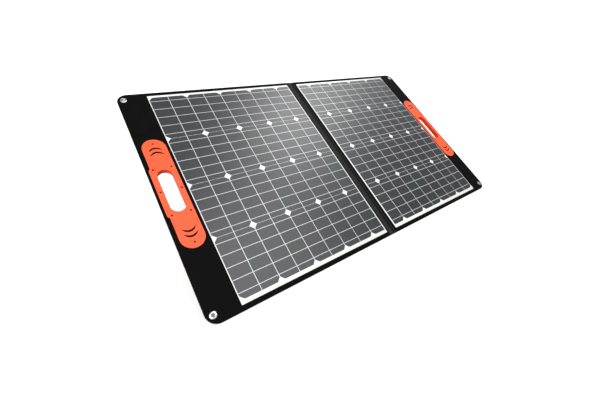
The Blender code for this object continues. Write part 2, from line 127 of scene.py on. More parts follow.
FOOT_SHORT = 8.0 * MM  # how much shorter the foot is at each end
BOX_X = 62.0 * MM
BOX_Y = 262.0 * MM
BOX_SIZE = (66.0 * MM, 44.0 * MM, 13.0 * MM)
BOX_ROUNDING = 3.0 * MM
GLAND_LENGTH = 16.0 * MM
GLAND_BORE = 1.8 * MM
GLAND_DEPTH = 4.0 * MM  # of the lead's hole

# Sizes of what only shows; some differ a little from the CAD model's
SHEET_HALF = ROWS * ROW_PITCH / 2 + 8.4 * MM
SHEET_SHIFT = -1.2 * MM  # the sheet's middle below the cells' middle
SHEET_CORNER = 1.5 * MM
SHEET_TOP = 1.9 * MM
CELL_HEIGHT = 157.7 * MM
CELL_TOP = 2.02 * MM
CELL_SINK = 0.1 * MM  # how deep a strip sits in the sheet
CELL_GAP = 1.4 * MM
EDGE_GAP = 1.6 * MM  # extra white between the first strip and the sheet's inner edge
CHAMFER_SWELL = 0.2 * MM  # how far a strip's cut corner bows outwards
CHAMFER_STEPS = 4
RIBBON_TOP = 2.12 * MM
RIBBON_SINK = 0.08 * MM
RIBBON = 1.4 * MM
RIBBON_SHORT = 3.0 * MM  # how much shorter a ribbon is than its row
RIBBONS = 5
CLOTH = 0.5 * MM
ROLL = 1.5 * MM  # radius that the covers' rims are rolled to
ROLL_STEPS = 4
WELD_LINE = ((4.4 * MM, 0.0), (4.9 * MM, -0.3 * MM), (5.6 * MM, -0.3 * MM), (6.1 * MM, 0.0))
STITCH_PITCH = 5.0 * MM
STITCH_WIDTH = 0.36 * MM
STITCH_SIDES = 6
SEAM_INSET = 8.5 * MM
HANDLE_ROUNDING = {"front": 1.2 * MM, "back": 1.6 * MM}
OVERLAP = 1.0 * MM  # how far solids reach into each other before a Boolean
CRESCENT_STEPS = 24
SCREW_SINK = 2.0 * MM  # depth of a screw's seat below the handle's face
SCREW_HOLE = 2.9 * MM
SCREW_LENGTH = 8.0 * MM
SCREW_TURN = 0.7  # radians from one screw's cross to the next
CROSS = 2.8 * MM  # length of a screw's recess
CROSS_WIDTH = 0.7 * MM
EYELET_ROLL = 1.2 * MM
EYELET_FOOT = -5.8 * MM
WASHER_FIT = 0.15 * MM
LUG_OFFSET = 4.4 * MM  # from the board's end to the middle of a lug
BRACKET_MARGIN = 8.3 * MM  # how far the bracket reaches past the board's ends
RIVETS_X = (-75.0 * MM, -25.0 * MM, 25.0 * MM, 75.0 * MM)
RIVETS_Y = (-8.2 * MM, 8.2 * MM)
FLAP_START = 4.0 * MM  # from the pin to the board
FLAP_CORNER = 6.0 * MM
BINDING_INSET = (1.6 * MM, 9.0 * MM)
FLAP_SEAM = 7.4 * MM
KNUCKLE = 4.4 * MM
FOOT_RIBS = 46
RIB_DEPTH = 0.35 * MM
LID_SCREW_INSET = 8.0 * MM
NUT_RIBS = 12
FOLD_HALF_WIDTH = 15.4 * MM
FOLD_TOP = -1.75 * MM
FOLD_THICK = 1.0 * MM
FOLD_COLUMNS = 64
FOLD_ROWS = 120
CREASE = 6.0 * MM  # how far right of the fold line the hinge creases
CHANNELS = (-11.8 * MM, -10.0 * MM, 11.8 * MM)  # the hinge's sewn lines
PUCKER_PITCH = 7.0 * MM

# Mesh limits
LARGE = 40.0 * MM * MM  # a face of more than this is shaded flat
SLIVER = 0.01 * MM  # a Boolean's edges shorter than this are dissolved
LEVEL = 0.9999  # two faces whose normals agree this well are level with each other
SAME = 1e-6  # heights and points this close count as equal

# The panel's own frame, read from the fold's axis
fold = next(j for j in frame["joints"] if j["name"] == "panel_fold")
UP = -Vector(fold["axis"]).normalized()
ACROSS = Vector((1, 0, 0))
OUT = ACROSS.cross(UP)
HOME = Vector(fold["pos_m"]) - FOLD_HEIGHT * OUT
PANEL = Matrix.Translation(HOME) @ Matrix((ACROSS, UP, OUT)).transposed().to_4x4()
ALONG_X = Matrix.Rotation(math.pi / 2, 4, "Y")  # turns a shape from Z to X


# --- outlines

def arc(centre, radius, start, stop, steps):
    """Points along an arc, both ends included; angles in degrees."""
    angles = [math.radians(start + (stop - start) * i / steps) for i in range(steps + 1)]
    return [(centre[0] + radius * math.cos(a), centre[1] + radius * math.sin(a)) for a in angles]


def circle(x, y, radius, steps=40):
    return arc((x, y), radius, 0, 360 - 360 / steps, steps - 1)


def smooth(t):
    return t * t * (3 - 2 * t)


def rounded(half_width, half_height, radius, x=0.0, y=0.0, steps=6):
    points = []
    for turn, (sx, sy) in enumerate([(1, 1), (-1, 1), (-1, -1), (1, -1)]):
        corner = (x + sx * (half_width - radius), y + sy * (half_height - radius))
        points += arc(corner, radius, 90 * turn, 90 * turn + 90, steps)
    return points


def panel_outline(side, inset=0.0):
    """One panel's outline: square at the fold, rounded at its outer corners."""
    inner = COVER_INNER + inset
    outer = COVER_OUTER - inset
    half = COVER_HALF - inset
    radius = CORNER_RADIUS - inset
    top = arc((outer - radius, half - radius), radius, 0, 90, 16)
    bottom = arc((outer - radius, radius - half), radius, 270, 360, 16)
    points = top + [(inner, half), (inner, -half)] + bottom
    return [(side * x, y) for x, y in points]


def handle_outline(side, inset=0.0):
    """Handle outline: round ends, with a soft-shouldered bulge along the outer side."""
    near = CELLS_OUTER + HANDLE_NEAR + inset
    far = CELLS_OUTER + HANDLE_FAR - inset
    half_width = (far - near) / 2
    middle = (far + near) / 2
    straight = HANDLE_HALF - inset - half_width
    top = arc((middle, straight), half_width, 0, 180, 32)
    bottom = arc((middle, -straight), half_width, 180, 360, 32)
    taper = [(i / 8, HANDLE_BULGE * smooth(i / 8)) for i in range(9)]
    lower = [(far + out, -BULGE_HALF + BULGE_TAPER * along) for along, out in taper]
    upper = [(x, -y) for x, y in reversed(lower)]
    return [(side * x, y) for x, y in bottom + lower + upper + top]


def slot_outline(side, inset=0.0):
    x = side * (CELLS_OUTER + SLOT_MIDDLE)
    half_width = SLOT_HALF_WIDTH - inset
    straight = SLOT_HALF_HEIGHT - SLOT_HALF_WIDTH
    top = arc((x, straight), half_width, 0, 180, 28)
    return top + arc((x, -straight), half_width, 180, 360, 28)


def eyelet_places(side):
    x = side * (COVER_OUTER - EYELET_FROM_EDGE)
    y = COVER_HALF - EYELET_FROM_TOP
    return {"top": (x, y), "bottom": (x, -y)}


def screw_places(side):
    """Centres of the eight screws of one handle, from the top down."""
    middle = CELLS_OUTER + SLOT_MIDDLE
    ends = middle - END_SCREW_ASIDE
    places = [
        (ends, END_SCREW),
        (middle + SIDE_SCREW_ACROSS, SIDE_SCREW),
        (middle - SIDE_SCREW_ACROSS, SIDE_SCREW),
        (middle + MIDDLE_SCREW_OUT, 0.0),
        (middle - MIDDLE_SCREW_IN, 0.0),
        (middle + SIDE_SCREW_ACROSS, -SIDE_SCREW),
        (middle - SIDE_SCREW_ACROSS, -SIDE_SCREW),
        (ends, -END_SCREW),
    ]
    return [(side * x, y) for x, y in places]


def crescent(side, tips, end):
    """A crescent of even thickness with blunt tips; its round side faces the handle's nearer end."""
    middle = CELLS_OUTER + (HANDLE_NEAR + HANDLE_FAR) / 2
    half = CRESCENT_WIDTH / 2
    radius = (half**2 + CRESCENT_SAG**2) / (2 * CRESCENT_SAG)
    spread = math.asin(half / radius)
    far, near = [], []
    for i in range(CRESCENT_STEPS + 1):
        along = 2 * i / CRESCENT_STEPS - 1
        thick = CRESCENT_THICK * (1 - abs(along) ** 3)
        x, y = math.sin(along * spread), math.cos(along * spread)
        far.append((radius * x, radius * y))
        near.append(((radius - thick) * x, (radius - thick) * y))
    points = far + near[-2:0:-1]
    return [(side * (middle + x), end * (tips + y + CRESCENT_SAG - radius)) for x, y in points]


# --- mesh tools

def weld(shape):
    bmesh.ops.remove_doubles(shape, verts=shape.verts, dist=SAME)
    bmesh.ops.recalc_face_normals(shape, faces=shape.faces)
    return shape


def linked(name, data):
    """A new object in the scene."""
    item = bpy.data.objects.new(name, data)
    bpy.context.scene.collection.objects.link(item)
    return item


def evaluated(source):
    """The mesh an object shows after its modifiers; the object itself is removed."""
    bpy.context.view_layer.update()
    seen = source.evaluated_get(bpy.context.evaluated_depsgraph_get())
    mesh = bpy.data.meshes.new_from_object(seen)
    mesh.transform(source.matrix_world)
    bpy.data.objects.remove(source, do_unlink=True)
    return mesh


def plate(outlines, bottom, top):
    """A flat plate between two heights; outlines after the first one are holes."""
    curve = bpy.data.curves.new("outline", "CURVE")
    curve.dimensions = "2D"
    curve.fill_mode = "BOTH"
    curve.extrude = (top - bottom) / 2
    for points in outlines:
        spline = curve.splines.new("POLY")
        spline.points.add(len(points) - 1)
        for point, (x, y) in zip(spline.points, points):
            point.co = (x, y, 0, 1)
        spline.use_cyclic_u = True
    source = linked("outline", curve)
    source.location.z = (top + bottom) / 2
    shape = bmesh.new()
    shape.from_mesh(evaluated(source))
    return weld(shape)


def turned(profile, steps=48):
    """A profile of (radius, height) points turned about Z; one that is off the axis is closed."""
    shape = bmesh.new()
    rings = []
    for radius, height in profile:
        if radius == 0:
            rings.append([shape.verts.new((0, 0, height))] * steps)
            continue
        turns = [2 * math.pi * i / steps for i in range(steps)]
        rings.append([shape.verts.new((radius * math.cos(a), radius * math.sin(a), height)) for a in turns])
    pairs = list(zip(rings, rings[1:]))
    if profile[0][0] and profile[-1][0]:
        pairs.append((rings[-1], rings[0]))
    for first, second in pairs:
        for i in range(steps):
            corners = [first[i], first[i - 1], second[i - 1], second[i]]
            unique = list(dict.fromkeys(corners))
            if len(unique) > 2:
                shape.faces.new(unique)
    return weld(shape)


def lofted(rings, holes=(), level=0.0):
    """Bands between rings of equal length, closed by a flat fill inside the last ring."""
    shape = bmesh.new()
    loops = [[shape.verts.new(point) for point in ring] for ring in rings]
    for first, second in zip(loops, loops[1:]):
        for i in range(len(first)):
            shape.faces.new([first[i - 1], first[i], second[i], second[i - 1]])
    inner = loops[-1]
    edges = [shape.edges.get((inner[i - 1], inner[i])) for i in range(len(inner))]
    for hole in holes:
        points = [shape.verts.new((x, y, level)) for x, y in hole]
        edges += [shape.edges.new((points[i - 1], points[i])) for i in range(len(points))]
    bmesh.ops.triangle_fill(shape, edges=edges, use_beauty=True)
    return shape


def merged(shapes, slots=None):
    """Several shapes in one; slots gives the material slot of each."""
    whole = bmesh.new()
    for number, shape in enumerate(shapes):
        if slots:
            for face in shape.faces:
                face.material_index = slots[number]
        mesh = bpy.data.meshes.new("part")
        shape.to_mesh(mesh)
        shape.free()
        whole.from_mesh(mesh)
        bpy.data.meshes.remove(mesh)
    return whole


def moved(shape, matrix):
    bmesh.ops.transform(shape, matrix=matrix, verts=shape.verts)
    return shape


def box_shape(centre, size, bevel=0.0, segments=3):
    shape = bmesh.new()
    bmesh.ops.create_cube(shape, size=1)
    moved(shape, Matrix.Translation(centre) @ Matrix.Diagonal((*size, 1)))
    if bevel:
        bmesh.ops.bevel(shape, geom=shape.edges[:], offset=bevel, segments=segments, profile=0.5,
                        affect="EDGES")
    return shape


def round_edges(shape, height, width, segments=4):
    """Rounds the rim between the flat face at this height and the walls."""
    rim = [
        e for e in shape.edges
        if all(abs(v.co.z - height) < SAME for v in e.verts)
        and len(e.link_faces) == 2
        and abs(abs(e.link_faces[0].normal.z) - abs(e.link_faces[1].normal.z)) > 0.5
    ]
    bmesh.ops.bevel(shape, geom=rim, offset=width, segments=segments, profile=0.5, affect="EDGES",
                    clamp_overlap=True)
    return shape


def boolean(shape, other, operation):
    """One shape after a Boolean with another."""
    operands = []
    for item in (shape, other):
        mesh = bpy.data.meshes.new("operand")
        item.to_mesh(mesh)
        item.free()
        operands.append(linked("operand", mesh))
    step = operands[0].modifiers.new("cut", "BOOLEAN")
    step.operation = operation
    step.object = operands[1]
    step.solver = "MANIFOLD"
    result = bmesh.new()
    result.from_mesh(evaluated(operands[0]))
    bpy.data.objects.remove(operands[1], do_unlink=True)
    bmesh.ops.dissolve_degenerate(result, dist=SLIVER, edges=result.edges)
    return result


def stitches(outline, level):
    """Thread stitches laid end to end along a closed outline, half sunk at the given height."""
    points = [Vector(point) for point in outline]
    pairs = list(zip(points, points[1:] + points[:1]))
    total = sum((b - a).length for a, b in pairs)
    count = round(total / STITCH_PITCH)
    shape = bmesh.new()
    walked = 0.0
    number = 0
    for a, b in pairs:
        step = (b - a).length
        while number < count and (number + 0.5) * total / count <= walked + step:
            spot = a + (b - a) * (((number + 0.5) * total / count - walked) / step)
            stitch(shape, spot, (b - a) / step, level)
            number += 1
        walked += step
    return shape


def stitch(shape, spot, along, level):
    """One stitch: a closed bead with pointed ends."""
    half = 0.4 * STITCH_PITCH
    aside = Vector((-along.y, along.x))
    rings = []
    for t in (-0.6, 0.6):
        middle = spot + along * half * t
        ring = []
        for turn in range(STITCH_SIDES):
            angle = 2 * math.pi * turn / STITCH_SIDES
            across = middle + aside * STITCH_WIDTH * math.cos(angle)
            ring.append(shape.verts.new((across.x, across.y, level + STITCH_WIDTH * math.sin(angle))))
        rings.append(ring)
    low, high = rings
    start, stop = [shape.verts.new((*(spot + along * half * t), level)) for t in (-1, 1)]
    for i in range(STITCH_SIDES):
        shape.faces.new([low[i - 1], high[i - 1], high[i], low[i]])
        shape.faces.new([start, low[i - 1], low[i]])
        shape.faces.new([stop, high[i], high[i - 1]])


def flat_faces(mesh, faces):
    """Finds the large faces and every face that is level with one of them."""
    flat = {polygon.index for polygon in mesh.polygons if polygon.area > LARGE}
    waiting = list(flat)
    while waiting:
        here = mesh.polygons[waiting.pop()]
        for key in here.edge_keys:
            for other in faces[key]:
                if other.index not in flat and other.normal.dot(here.normal) > LEVEL:
                    flat.add(other.index)
                    waiting.append(other.index)
    return flat


def keep_flats(mesh):
    """Marks open edges and the edges round flat faces as sharp, so that flat faces shade flat."""
    faces = {}
    for polygon in mesh.polygons:
        for key in polygon.edge_keys:
            faces.setdefault(key, []).append(polygon)
    flat = flat_faces(mesh, faces)
    sharp = mesh.attributes.get("sharp_edge") or mesh.attributes.new("sharp_edge", "BOOLEAN", "EDGE")
    for edge in mesh.edges:
        first, second = (faces[edge.key] * 2)[:2]
        open_edge = len(faces[edge.key]) == 1
        rim = (first.index in flat) != (second.index in flat)
        if open_edge or (rim and first.normal.dot(second.normal) < LEVEL):
            sharp.data[edge.index].value = True


def place(name, shape, skins, body=None, where=Matrix.Identity(4), angle=30, stands_for=()):
    """Makes a piece from a shape in panel coordinates and lets it ride on its body.

    Edges sharper than angle, in degrees, stay sharp; 0 leaves the whole piece flat-shaded.
    """
    moved(shape, where)
    mesh = bpy.data.meshes.new(name)
    shape.to_mesh(mesh)
    shape.free()
    home = mesh.attributes.new("home", "FLOAT_VECTOR", "POINT")
    home.data.foreach_set("vector", [c for v in mesh.vertices for c in v.co])
    mesh.transform(PANEL)
    for skin in skins:
        mesh.materials.append(skin)
    if angle:
        mesh.shade_smooth()
        mesh.set_sharp_from_angle(angle=math.radians(angle))
        keep_flats(mesh)
    piece = linked(name, mesh)
    if body:
        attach(piece, body)
    if stands_for:
        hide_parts(*stands_for)
    return piece


# --- materials

WAVE = 0.314159  # a wave texture of this scale has a pitch of one metre


class Nodes:
    """A short way to write a node material."""

    def __init__(self, name):
        self.material = bpy.data.materials.new(name)
        self.material.use_nodes = True
        self.tree = self.material.node_tree
        self.shader = self.tree.nodes["Principled BSDF"]

    def add(self, kind, **values):
        node = self.tree.nodes.new(kind)
        for key, value in values.items():
            if hasattr(node, key):
                setattr(node, key, value)
            else:
                node.inputs[key.replace("_", " ")].default_value = value
        return node

    def link(self, source, target):
        self.tree.links.new(source, target)

    def fill(self, socket, value):
        """Gives a socket a number, a colour or another node's output."""
        if isinstance(value, (int, float)):
            socket.default_value = value
        elif isinstance(value, tuple):
            socket.default_value = (*value, 1.0)
        else:
            self.link(value, socket)

    def stored(self, name):
        """A vector that the mesh carries; home holds its panel coordinates."""
        return self.add("ShaderNodeAttribute", attribute_name=name).outputs["Vector"]

    def home(self):
        return self.stored("home")

    def axes(self, where):
        node = self.add("ShaderNodeSeparateXYZ")
        self.link(where, node.inputs[0])
        return node.outputs

    def noise(self, where, scale, detail=3.0, roughness=0.5):
        node = self.add("ShaderNodeTexNoise", Scale=scale, Detail=detail, Roughness=roughness)
        self.link(where, node.inputs["Vector"])
        return node.outputs["Fac"]

    def bands(self, where, direction, pitch):
        """A sine of the given pitch in metres."""
        node = self.add("ShaderNodeTexWave", bands_direction=direction, Scale=WAVE / pitch)
        self.link(where, node.inputs["Vector"])
        return node.outputs["Fac"]

    def math(self, operation, first, second, clamp=False):
        node = self.add("ShaderNodeMath", operation=operation, use_clamp=clamp)
        for socket, value in zip(node.inputs, (first, second)):
            self.fill(socket, value)
        return node.outputs[0]

    def ramp(self, source, low, high, start=0.0, stop=1.0):
        """Maps a value from start..stop to low..high."""
        node = self.add("ShaderNodeMapRange")
        self.link(source, node.inputs["Value"])
        for key, value in zip(("From Min", "From Max", "To Min", "To Max"), (start, stop, low, high)):
            node.inputs[key].default_value = value
        return node.outputs["Result"]

    def mix(self, factor, first, second):
        node = self.add("ShaderNodeMix", data_type="RGBA")
        for number, value in ((0, factor), (6, first), (7, second)):
            self.fill(node.inputs[number], value)
        return node.outputs[2]

    def bump(self, height, distance, strength=1.0):
        node = self.add("ShaderNodeBump", Strength=strength, Distance=distance)
        self.link(height, node.inputs["Height"])
        self.link(node.outputs["Normal"], self.shader.inputs["Normal"])

    def set(self, **values):
        """Sets the shader's sockets to numbers, colours or other nodes' outputs."""
        for key, value in values.items():
            self.fill(self.shader.inputs[key.replace("_", " ")], value)


def coated_fabric(name, dark, light, specular, painted_shade=False):
    """Coated black polyester weave; the hinge's is painted darker in its crease and at its edges, as
    painted shade.
    """
    n = Nodes(name)
    home = n.home()
    weave = n.math("MULTIPLY", n.bands(home, "X", 0.7 * MM), n.bands(home, "Y", 0.7 * MM))
    patches = n.noise(home, 28.0, 4.0, 0.6)
    dust = n.noise(home, 900.0, 2.0)
    tone = n.math("ADD", n.ramp(patches, 0.0, 0.6, 0.3, 0.7), n.ramp(dust, 0.0, 0.4, 0.55, 0.8), True)
    colour = n.mix(tone, dark, light)
    # painted shade: the hinge's crease and its edges are darkened, where shade falls
    if painted_shade:
        across = n.axes(home)["X"]
        from_crease = n.math("ABSOLUTE", n.math("SUBTRACT", across, CREASE), 0.0)
        crease_shade = n.ramp(from_crease, 1.0, 0.0, 3.0 * MM, 4.4 * MM)
        edge = n.ramp(n.math("ABSOLUTE", across, 0.0), 0.0, 1.0, 13.0 * MM, 14.0 * MM)
        colour = n.mix(n.math("MAXIMUM", crease_shade, edge), colour, (0.0018, 0.0018, 0.0018))
    n.set(Base_Color=colour, Roughness=n.ramp(patches, 0.44, 0.56, 0.3, 0.7))
    n.set(Sheen_Weight=0.004, Sheen_Roughness=0.4, Specular_IOR_Level=specular)
    relief = n.math("ADD", weave, n.math("MULTIPLY", n.noise(home, 60.0, 3.0), 1.6))
    n.bump(relief, 0.06 * MM, 0.8)
    return n.material


def thread():
    """Bonded black thread with its twist."""
    n = Nodes("stitch thread")
    twist = n.bands(n.home(), "DIAGONAL", 0.6 * MM)
    n.set(Base_Color=n.mix(twist, (0.07, 0.07, 0.07), (0.14, 0.14, 0.137)))
    n.set(Roughness=n.ramp(twist, 0.45, 0.65))
    n.bump(twist, 0.05 * MM, 0.8)
    return n.material


def white_laminate():
    """White back sheet seen through clear film, painted darker and creamier towards its lower edge as
    shade.
    """
    n = Nodes("white laminate")
    home = n.home()
    # painted shade: the lowest strip of the sheet darkens and yellows, as where it is less lit
    low = n.ramp(n.axes(home)["Y"], 1.0, 0.0, -SHEET_HALF, -SHEET_HALF * 0.95)
    stain = n.noise(home, 30.0, 4.0)
    white = n.mix(low, (0.64, 0.65, 0.65), (0.58, 0.59, 0.54))
    n.set(Base_Color=n.mix(n.ramp(stain, 0.0, 0.25, 0.35, 0.75), white, (0.52, 0.52, 0.49)))
    n.set(Roughness=n.ramp(stain, 0.3, 0.42), Coat_Weight=0.5, Coat_Roughness=0.25)
    n.bump(n.noise(home, 1400.0, 2.0), 0.03 * MM, 0.5)
    return n.material


def silicon():
    """Slate-grey silicon under textured film; each strip has its own tone and tint, and fine fingers."""
    n = Nodes("silicon cells")
    home = n.home()
    own = n.axes(n.stored("tone"))
    grey = n.mix(own["X"], (0.004, 0.0055, 0.0105), (0.0105, 0.0095, 0.0112))
    tint = n.mix(own["Y"], (0.0145, 0.0055, 0.0175), (0.001, 0.0148, 0.0112))
    cloud = n.noise(home, 22.0, 3.0, 0.6)
    base = n.mix(n.ramp(cloud, 0.1, 0.9, 0.38, 0.62), grey, tint)
    grain = n.noise(home, 420.0, 3.0, 0.7)
    speckle = n.noise(home, 1000.0, 1.0)
    mottled = n.mix(n.ramp(grain, 0.0, 0.7, 0.42, 0.64), base, (0.020, 0.0205, 0.021))
    pitted = n.mix(n.ramp(speckle, 0.0, 0.8, 0.5, 0.7), mottled, (0.0025, 0.003, 0.004))
    fingers = n.bands(home, "X", 1.6 * MM)
    n.set(Base_Color=n.mix(n.ramp(fingers, 0.0, 0.2, 0.75, 1.0), pitted, (0.045, 0.045, 0.045)))
    n.set(Roughness=n.ramp(grain, 0.4, 0.55, 0.3, 0.7), Specular_IOR_Level=0.15)
    n.set(Coat_Weight=1.0, Coat_Roughness=0.34)
    n.bump(n.math("ADD", grain, speckle), 0.12 * MM, 0.8)
    return n.material


def ribbon_metal():
    """Tinned copper ribbon, dulled by the film."""
    n = Nodes("cell ribbon")
    home = n.home()
    drawn = n.noise(home, 700.0, 2.0)
    n.set(Base_Color=n.mix(n.ramp(drawn, 0.0, 1.0, 0.3, 0.7), (0.42, 0.43, 0.44), (0.58, 0.59, 0.60)))
    n.set(Metallic=0.1, Roughness=n.ramp(drawn, 0.32, 0.46), Coat_Weight=0.4, Coat_Roughness=0.3)
    n.bump(drawn, 0.03 * MM, 0.5)
    return n.material


def orange_plastic():
    """Satin moulded plastic with fine spark texture; its top rounding is painted paler, as wear from
    rubbing and painted highlight, and its walls and inside are painted darker as shade.
    """
    n = Nodes("orange plastic")
    home = n.home()
    grain = n.noise(home, 1100.0, 2.0)
    patches = n.noise(home, 35.0, 4.0)
    base = n.mix(n.ramp(patches, 0.0, 1.0, 0.3, 0.7), (0.76, 0.072, 0.019), (0.83, 0.090, 0.027))
    middle = (HANDLE_TOP + HANDLE_BOTTOM) / 2
    face = HANDLE_TOP - middle
    level = n.math("ABSOLUTE", n.math("SUBTRACT", n.axes(home)["Z"], middle), 0.0)
    # the top rounding is painted paler: wear from rubbing and a painted highlight
    rounding = n.ramp(level, 0.0, 0.3, face - 1.2 * MM, face - 0.4 * MM)
    worn = n.math("MULTIPLY", rounding, n.ramp(level, 1.0, 0.0, face - 0.15 * MM, face - 0.02 * MM))
    rubbed_and_highlit = n.mix(worn, base, (0.92, 0.24, 0.13))
    # painted shade: the walls and everything below the top face darken, as in the hand slot's shadow
    inside = n.ramp(level, 0.75, 0.0, face - 2.0 * MM, face - 0.6 * MM)
    n.set(Base_Color=n.mix(inside, rubbed_and_highlit, (0.46, 0.022, 0.004)))
    n.set(Roughness=n.ramp(patches, 0.42, 0.54), Specular_IOR_Level=0.3)
    n.bump(grain, 0.05 * MM, 0.7)
    return n.material


def moulded(name, dark, light, roughness, patches, grain, relief):
    """Black plastic or rubber; patches and grain give the scale and detail of its noises."""
    n = Nodes(name)
    home = n.home()
    worn = n.noise(home, *patches)
    n.set(Base_Color=n.mix(worn, dark, light), Roughness=n.ramp(worn, *roughness))
    n.bump(n.noise(home, *grain), relief, 0.8)
    return n.material


def metal(name, dark, light, low, high):
    """Plated or bright metal with faint drawing marks; low and high are its roughness."""
    n = Nodes(name)
    home = n.home()
    marks = n.noise(home, 600.0, 3.0)
    patches = n.noise(home, 90.0, 3.0)
    n.set(Base_Color=n.mix(patches, dark, light), Metallic=1.0, Roughness=n.ramp(marks, low, high))
    n.bump(marks, 0.02 * MM, 0.4)
    return n.material


def stiffener():
    """Grey honeycomb board."""
    n = Nodes("stiffener board")
    where = n.add("ShaderNodeTexCoord").outputs["Object"]
    cells = n.add("ShaderNodeTexVoronoi", Scale=220.0)
    n.link(where, cells.inputs["Vector"])
    n.set(Base_Color=n.mix(cells.outputs["Distance"], (0.22, 0.22, 0.21), (0.32, 0.32, 0.3)), Roughness=0.7)
    n.bump(cells.outputs["Distance"], 0.1 * MM, 0.5)
    return n.material


# --- pieces

def cover(label, side, back, skins, body):
    """One fabric face of a panel: rolled at its rim, with a pressed weld line all round."""
    def flip(z):
        return -THICKNESS - z if back else z

    face = "back" if back else "front"
    profile = [(0.0, -THICKNESS / 2)]
    for i in range(ROLL_STEPS + 1):
        angle = math.pi / 2 * i / ROLL_STEPS
        profile.append((ROLL * (1 - math.cos(angle)), -ROLL * (1 - math.sin(angle))))
    profile += WELD_LINE
    rings = [[(x, y, flip(z)) for x, y in panel_outline(side, inset)] for inset, z in profile]
    holes = [handle_outline(side, HANDLE_LIP - GAP)]
    holes += [circle(x, y, EYELET_BARREL + GAP) for x, y in eyelet_places(side).values()]
    shape = lofted(rings, holes, flip(0.0))
    bmesh.ops.recalc_face_normals(shape, faces=shape.faces)
    outward = sum(f.normal.z * f.calc_area() for f in shape.faces)
    if (outward > 0) == back:
        bmesh.ops.reverse_faces(shape, faces=shape.faces)
    area = sum(f.calc_area() for f in shape.faces)
    piece = place(f"{label}_{face}_fabric", shape, [skins["rear" if back else "fabric"]], body,
                  stands_for=[f"{label}_{face}_cover"])
    thick = piece.modifiers.new("thickness", "SOLIDIFY")
    thick.thickness = CLOTH
    thick.offset = -1


def strip_outline(side, start, chamfer_outer, middle):
    """One cell strip; the corners on one long side are cut off on a slight curve."""
    inner = start + CELL_GAP / 2
    if start == CELLS_INNER:
        inner += EDGE_GAP
    outer = start + STRIP_PITCH - CELL_GAP / 2
    half = CELL_HEIGHT / 2
    cut = []
    for i in range(CHAMFER_STEPS + 1):
        t = i / CHAMFER_STEPS
        swell = CHAMFER_SWELL * math.sin(math.pi * t)
        cut.append((CHAMFER * (1 - t) - swell, CHAMFER * t - swell))
    top = [(outer - x, half - y) for x, y in cut]
    bottom = [(x, -y) for x, y in reversed(top)]
    points = [(inner, half)] + top + bottom + [(inner, -half)]
    if not chamfer_outer:
        points = [(inner + outer - x, y) for x, y in points]
    return [(side * x, middle + y) for x, y in points]


def strip_tone(side, row, strip):
    """A strip's own tone and tint: two scattered values from 0 to 1."""
    seed = strip * 7.31 + row * 3.17 + side * 1.9
    tone = (math.sin(seed * 12.9898) * 43758.5453) % 1
    tint = (math.sin(seed * 78.233) * 24634.6345) % 1
    return Vector((tone, tint, 0))


def cell_row(label, side, row, skins, body):
    """Nine strips with their own tints, joined by five ribbons."""
    middle = ROW_PITCH * ((ROWS - 1) / 2 - row)
    shapes = []
    for strip in range(STRIPS):
        from_outside = STRIPS - 1 - strip
        outline = strip_outline(side, CELLS_INNER + strip * STRIP_PITCH, from_outside % 2 == 0, middle)
        shape = plate([outline], SHEET_TOP - CELL_SINK, CELL_TOP)
        mark = shape.verts.layers.float_vector.new("tone")
        tone = strip_tone(side, row, strip)
        for vert in shape.verts:
            vert[mark] = tone
        shapes.append(shape)
    size = (CELLS_OUTER - CELLS_INNER - RIBBON_SHORT, RIBBON, RIBBON_TOP - CELL_TOP + RIBBON_SINK)
    depth = (CELL_TOP + RIBBON_TOP - RIBBON_SINK) / 2
    for ribbon in range(RIBBONS):
        y = middle + CELL_HEIGHT * ((ribbon + 0.5) / RIBBONS - 0.5)
        shapes.append(box_shape((side * (CELLS_INNER + CELLS_OUTER) / 2, y, depth), size))
    slots = [0] * STRIPS + [1] * RIBBONS
    place(f"{label}_cells_{row + 1}", merged(shapes, slots), [skins["silicon"], skins["ribbon"]],
          body, angle=0, stands_for=[f"{label}_cell_row_{row + 1}"])


def laminate(label, side, skins, body):
    """The white sheet that carries the cells, with its clear film."""
    middle = side * (SHEET_INNER + SHEET_OUTER) / 2
    half_width = (SHEET_OUTER - SHEET_INNER) / 2
    outline = rounded(half_width, SHEET_HALF, SHEET_CORNER, x=middle, y=SHEET_SHIFT, steps=4)
    shape = plate([outline], GAP, SHEET_TOP)
    round_edges(shape, SHEET_TOP, 0.3 * MM, 2)
    place(f"{label}_laminate", shape, [skins["white"]], body,
          stands_for=[f"{label}_back_sheet", f"{label}_front_film"])


def handle_shell(label, side, face, skins, body):
    """One moulded half of the handle, rounded at its rim and round the hand slot."""
    back = face == "back"
    top = HANDLE_BOTTOM if back else HANDLE_TOP
    foot = BACK_FACE if back else GAP
    split = SPLIT - GAP if back else SPLIT
    reach = foot - OVERLAP if back else foot + OVERLAP
    shape = plate([handle_outline(side), slot_outline(side)], *sorted((top, foot)))
    round_edges(shape, top, HANDLE_ROUNDING[face])
    core = [handle_outline(side, HANDLE_LIP), slot_outline(side, -SLOT_STEP)]
    shape = boolean(shape, plate(core, *sorted((split, reach))), "UNION")
    if not back:
        shape = boolean(shape, merged(front_cuts(side)), "DIFFERENCE")
        darken_grooves(shape)
    place(f"{label}_handle_{face}_shell", shape, [skins["orange"], skins["groove_shade"]], body,
          stands_for=[f"{label}_handle_{face}"])


def front_cuts(side):
    """What is cut from the handle's front: the crescent grooves and the screws' seats."""
    above = HANDLE_TOP + OVERLAP
    seat = HANDLE_TOP - SCREW_SINK
    cuts = []
    for tips in CRESCENT_TIPS:
        for end in (-1, 1):
            cuts.append(plate([crescent(side, tips, end)], HANDLE_TOP - CRESCENT_DEPTH, above))
    for x, y in screw_places(side):
        hole = turned([(0, above), (SCREW_HOLE, above), (SCREW_HOLE, seat), (0, seat)], 32)
        cuts.append(moved(hole, Matrix.Translation((x, y, 0))))
    return cuts


